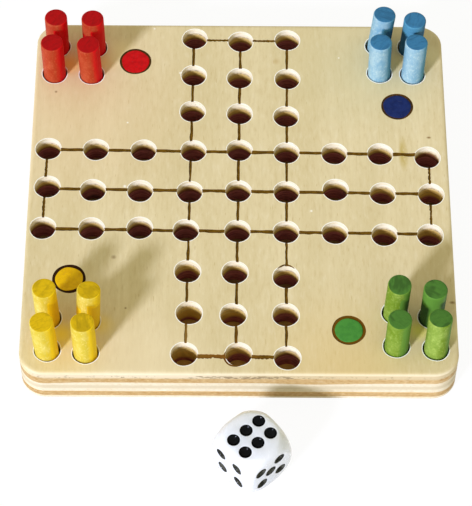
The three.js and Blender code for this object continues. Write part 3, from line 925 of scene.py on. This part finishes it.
def die_cube():
    """Cube pushed out to round edges: each point of the cube is pulled back to an inner cube and
    set one edge radius away from it. What then lies outside the ball is drawn in to it, with a
    soft passage from one to the other."""
    half, inner = DIE_SIDE / 2, DIE_SIDE / 2 - DIE_ROUND
    bend = np.tan(np.linspace(0, np.pi / 4, DIE_BEND + 1)) * DIE_ROUND
    stops = np.concatenate([-inner - bend[:0:-1], np.linspace(-inner, inner, DIE_FLAT), inner + bend[1:]])
    u, v = (grid.ravel() for grid in np.meshgrid(stops, stops, indexing="ij"))
    top = np.stack([u, v, np.full_like(u, half)], axis=-1)
    turns = [np.roll(top, shift, axis=1) for shift in range(3)]
    points = np.concatenate(turns + [-turn for turn in turns])
    count = len(stops)
    number = np.arange(count * count).reshape(count, count)
    quads = np.stack([number[:-1, :-1], number[1:, :-1], number[1:, 1:], number[:-1, 1:]], axis=-1)
    quads = quads.reshape(-1, 4)
    faces = [quads + side * count * count for side in range(3)]
    faces += [quads[:, ::-1] + side * count * count for side in range(3, 6)]
    core = np.clip(points, -inner, inner)
    out = points - core
    points = core + DIE_ROUND * out / np.linalg.norm(out, axis=1, keepdims=True)
    far = np.linalg.norm(points, axis=1, keepdims=True)
    over = DIE_BLEND * np.log1p(np.exp((far - DIE_BALL_RADIUS) / DIE_BLEND))
    return points * (1 - over / far), np.concatenate(faces)


def pip_balls(places, outs):
    """Balls that sink into a face by the pip's depth: a half circle spun about an axis square to
    the face, from pole to pole."""
    ball = (PIP_RADIUS**2 + PIP_DEPTH**2) / (2 * PIP_DEPTH)
    tilt = np.radians(np.linspace(PIP_POLE, 180 - PIP_POLE, PIP_STEPS))
    angle = np.linspace(0, 2 * np.pi, PIP_SIDES, endpoint=False)
    plan = ball * np.sin(tilt)[:, None] * np.exp(1j * angle)
    round_one = level(plan, -ball * np.cos(tilt)[:, None])
    side = np.roll(outs, 1, axis=1)
    frames = np.stack([side, np.cross(outs, side), outs], axis=1)
    centres = places + outs * (ball - PIP_DEPTH)
    return np.einsum("rpk,nkc->nrpc", round_one, frames) + centres[:, None, None]


one = [(0, 0)]
two = [(-PIP_SPREAD, PIP_SPREAD), (PIP_SPREAD, -PIP_SPREAD)]
four = [(x, y) for x in (-PIP_SPREAD, PIP_SPREAD) for y in (-PIP_SPREAD, PIP_SPREAD)]
six = [(x, y) for x in (-SIX_LONG, 0, SIX_LONG) for y in (-SIX_SHORT, SIX_SHORT)]
# Each face: where it points, where its pattern's first axis runs, the pattern's slip and tilt, its pips.
PIPS = [
    ((0, 0, 1), (1, 0, 0), 0, 0, six),
    ((0, 0, -1), (1, 0, 0), 0, 0, one),
    ((-1, 0, 0), (0, -1, 0), 0.4 + 0.8j, 6, four),
    ((1, 0, 0), (0, 1, 0), 0, 3, two + one),
    ((0, -1, 0), (1, 0, 0), -0.3 + 0.6j, 5, four + one),
    ((0, 1, 0), (-1, 0, 0), 0, 2, two),
]
pip_places, pip_outs = [], []
for out, first, slip, tilt, dots in PIPS:
    out, first = np.array(out, float), np.array(first, float)
    dots = np.array(dots, float) @ [1, 1j] * np.exp(1j * np.radians(tilt)) + slip
    spread = dots.real[:, None] * first + dots.imag[:, None] * np.cross(out, first)
    pip_places.append(out * DIE_SIDE / 2 + spread)
    pip_outs.append(np.tile(out, (len(dots), 1)))
cos, sin = np.cos(DIE_TURN), np.sin(DIE_TURN)
turn_die = np.array([[cos, sin, 0], [-sin, cos, 0], [0, 0, 1]])

white = finish("polished_white", {
    "Specular IOR Level": 0.5, "Coat Weight": 0.4, "Coat Roughness": 0.06,
    "Subsurface Weight": 1.0, "Subsurface Radius": (1.0, 1.0, 1.0), "Subsurface Scale": 0.006})
haze = grain(white, (0.12, 0.12, 0.12), 3)
scuff = grain(white, (1.6, 0.5, 1.1), 4)
colour = stain(white, ease(white, haze, 0.35, 0.65), seen(232, 235, 242), seen(226, 230, 237))
coat(white, colour, ease(white, scuff, 0.35, 0.7, (0.16, 0.3)), haze, 0.02)
# Painted reflection: the side pips are painted grey for the sheen off their dishes.
PIP_BLACKS = [
    ("wet_black", seen(3, 5, 5), seen(12, 12, 12)),
    ("dusty_black", seen(36, 36, 30), seen(84, 84, 74)),
]
pip_paints = []
for name, deep, paler_dab in PIP_BLACKS:
    black = finish(name, {"Specular IOR Level": 0.07})
    dab = grain(black, (0.9, 0.9, 0.9), 3)
    colour = stain(black, ease(black, dab, 0.35, 0.7), deep, paler_dab)
    pip_paints.append(coat(black, colour, ease(black, dab, 0.3, 0.7, (0.04, 0.09)), dab, 0.02))

cube_points, cube_faces = die_cube()
die = piece("white_die", cube_points @ turn_die + middle("die"), cube_faces.tolist(), [white])
weld = die.modifiers.new("close_seams", "WELD")
weld.merge_threshold = SEAM_WELD
pip_outs = np.concatenate(pip_outs)
ball_rings = pip_balls(np.concatenate(pip_places), pip_outs)
on_side = (pip_outs[:, 2] == 0).astype(int)
pip_which = np.concatenate([np.repeat(on_side, (PIP_STEPS - 1) * PIP_SIDES), on_side, on_side])
balls = piece("pip_cutter", *loft(ball_rings @ turn_die + middle("die")), pip_paints, pip_which)
carve(die, [balls])
bpy.data.objects.remove(balls)
smooth(die, DIE_CREASE, flat_axes=False)
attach(die, "die")
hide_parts("die")

# Table: a plain white sheet that the board and the die lie on. It shows white to the camera and
# in reflections, and keeps part of its own shading, so the shadows stay.
FLOOR_HALF = 1500.0
FLOOR_DROP = 0.02
FLOOR_WHITE = (0.84, 0.84, 0.84, 1)
GLOW_STRENGTH = 1.03
GLOW_SHARE = 0.9


def looked_at(made):
    """One where the camera looks, also through clear things or by reflection, and nothing for light."""
    rays = made.node_tree.nodes.new("ShaderNodeLightPath").outputs
    direct = reckon(made, rays["Is Camera Ray"], rays["Is Transmission Ray"], "MAXIMUM")
    return reckon(made, direct, rays["Is Glossy Ray"], "MAXIMUM")


floor_finish = bpy.data.materials.new("white_table")
floor_finish.use_nodes = True
floor_tree = floor_finish.node_tree
floor_tree.nodes.clear()
paper = wire(floor_finish, "ShaderNodeBsdfDiffuse", {"Color": FLOOR_WHITE}, 0)
glow = wire(floor_finish, "ShaderNodeEmission", {"Color": (1, 1, 1, 1), "Strength": GLOW_STRENGTH}, 0)
glow_share = reckon(floor_finish, looked_at(floor_finish), GLOW_SHARE)
shown = wire(floor_finish, "ShaderNodeMixShader", {0: glow_share, 1: paper, 2: glow}, 0)
floor_out = floor_tree.nodes.new("ShaderNodeOutputMaterial")
floor_tree.links.new(shown, floor_out.inputs["Surface"])
sheet = level(FLOOR_HALF * np.array([-1 - 1j, 1 - 1j, 1 + 1j, -1 + 1j]), -FLOOR_DROP)
floor = piece("table", sheet, [[0, 1, 2, 3]], [floor_finish])

# Light: one lamp low on the front left, as the shadows show, and an even room round it. The room
# is a little warm and the lamp a little cool, so that together they are white on the board's top.
LAMP_FROM = np.array([-0.519, -0.719, 0.462])
LAMP_ENERGY = 3.1
LAMP_WIDTH = np.radians(9.0)
LAMP_COLOUR = (0.92, 0.98, 1.28)
ROOM_LIGHT = (0.575, 0.55, 0.405, 1)
lamp = bpy.data.lights.new("key_lamp", "SUN")
lamp.energy = LAMP_ENERGY
lamp.angle = LAMP_WIDTH
lamp.color = LAMP_COLOUR
key = bpy.data.objects.new("key_lamp", lamp)
bpy.context.scene.collection.objects.link(key)
lamp_back = LAMP_FROM / np.linalg.norm(LAMP_FROM)
lamp_side = np.cross([0, 0, 1.0], lamp_back)
lamp_side /= np.linalg.norm(lamp_side)


def placed(right, up, back, at):
    """Place of a lamp or a camera whose own three axes point these ways."""
    axes = np.stack([right, up, back, at], axis=1)
    return Matrix(np.vstack([axes, [0, 0, 0, 1]]).tolist())


key.matrix_world = placed(lamp_side, np.cross(lamp_back, lamp_side), lamp_back, LAMP_FROM)
room = bpy.data.worlds.new("warm_room")
bpy.context.scene.world = room
room.use_nodes = True
room_tree = room.node_tree
room_colour = stain(room, looked_at(room), ROOM_LIGHT, (1, 1, 1, 1))
room_tree.links.new(room_colour, room_tree.nodes["Background"].inputs["Color"])

# Camera: stands in front of the board and looks down on it, as the photograph was taken.
CAMERA_AT = np.array([-3.84, -367.09, 552.97]) * MM
CAMERA_RIGHT = (0.99998, 0.00196, 0.00675)
CAMERA_UP = (-0.0053, 0.8416, 0.54008)
CAMERA_BACK = (-0.00462, -0.5401, 0.84159)
SENSOR = 36
FOCAL_PIXELS = 2330
PHOTO_HEIGHT = 506
view = bpy.data.cameras.new("photo_camera")
view.lens = FOCAL_PIXELS * SENSOR / PHOTO_HEIGHT
view.sensor_width = SENSOR
camera = bpy.data.objects.new("photo_camera", view)
bpy.context.scene.collection.objects.link(camera)
camera.matrix_world = placed(CAMERA_RIGHT, CAMERA_UP, CAMERA_BACK, CAMERA_AT)
bpy.context.scene.camera = camera
bpy.context.scene.view_settings.view_transform = "Standard"
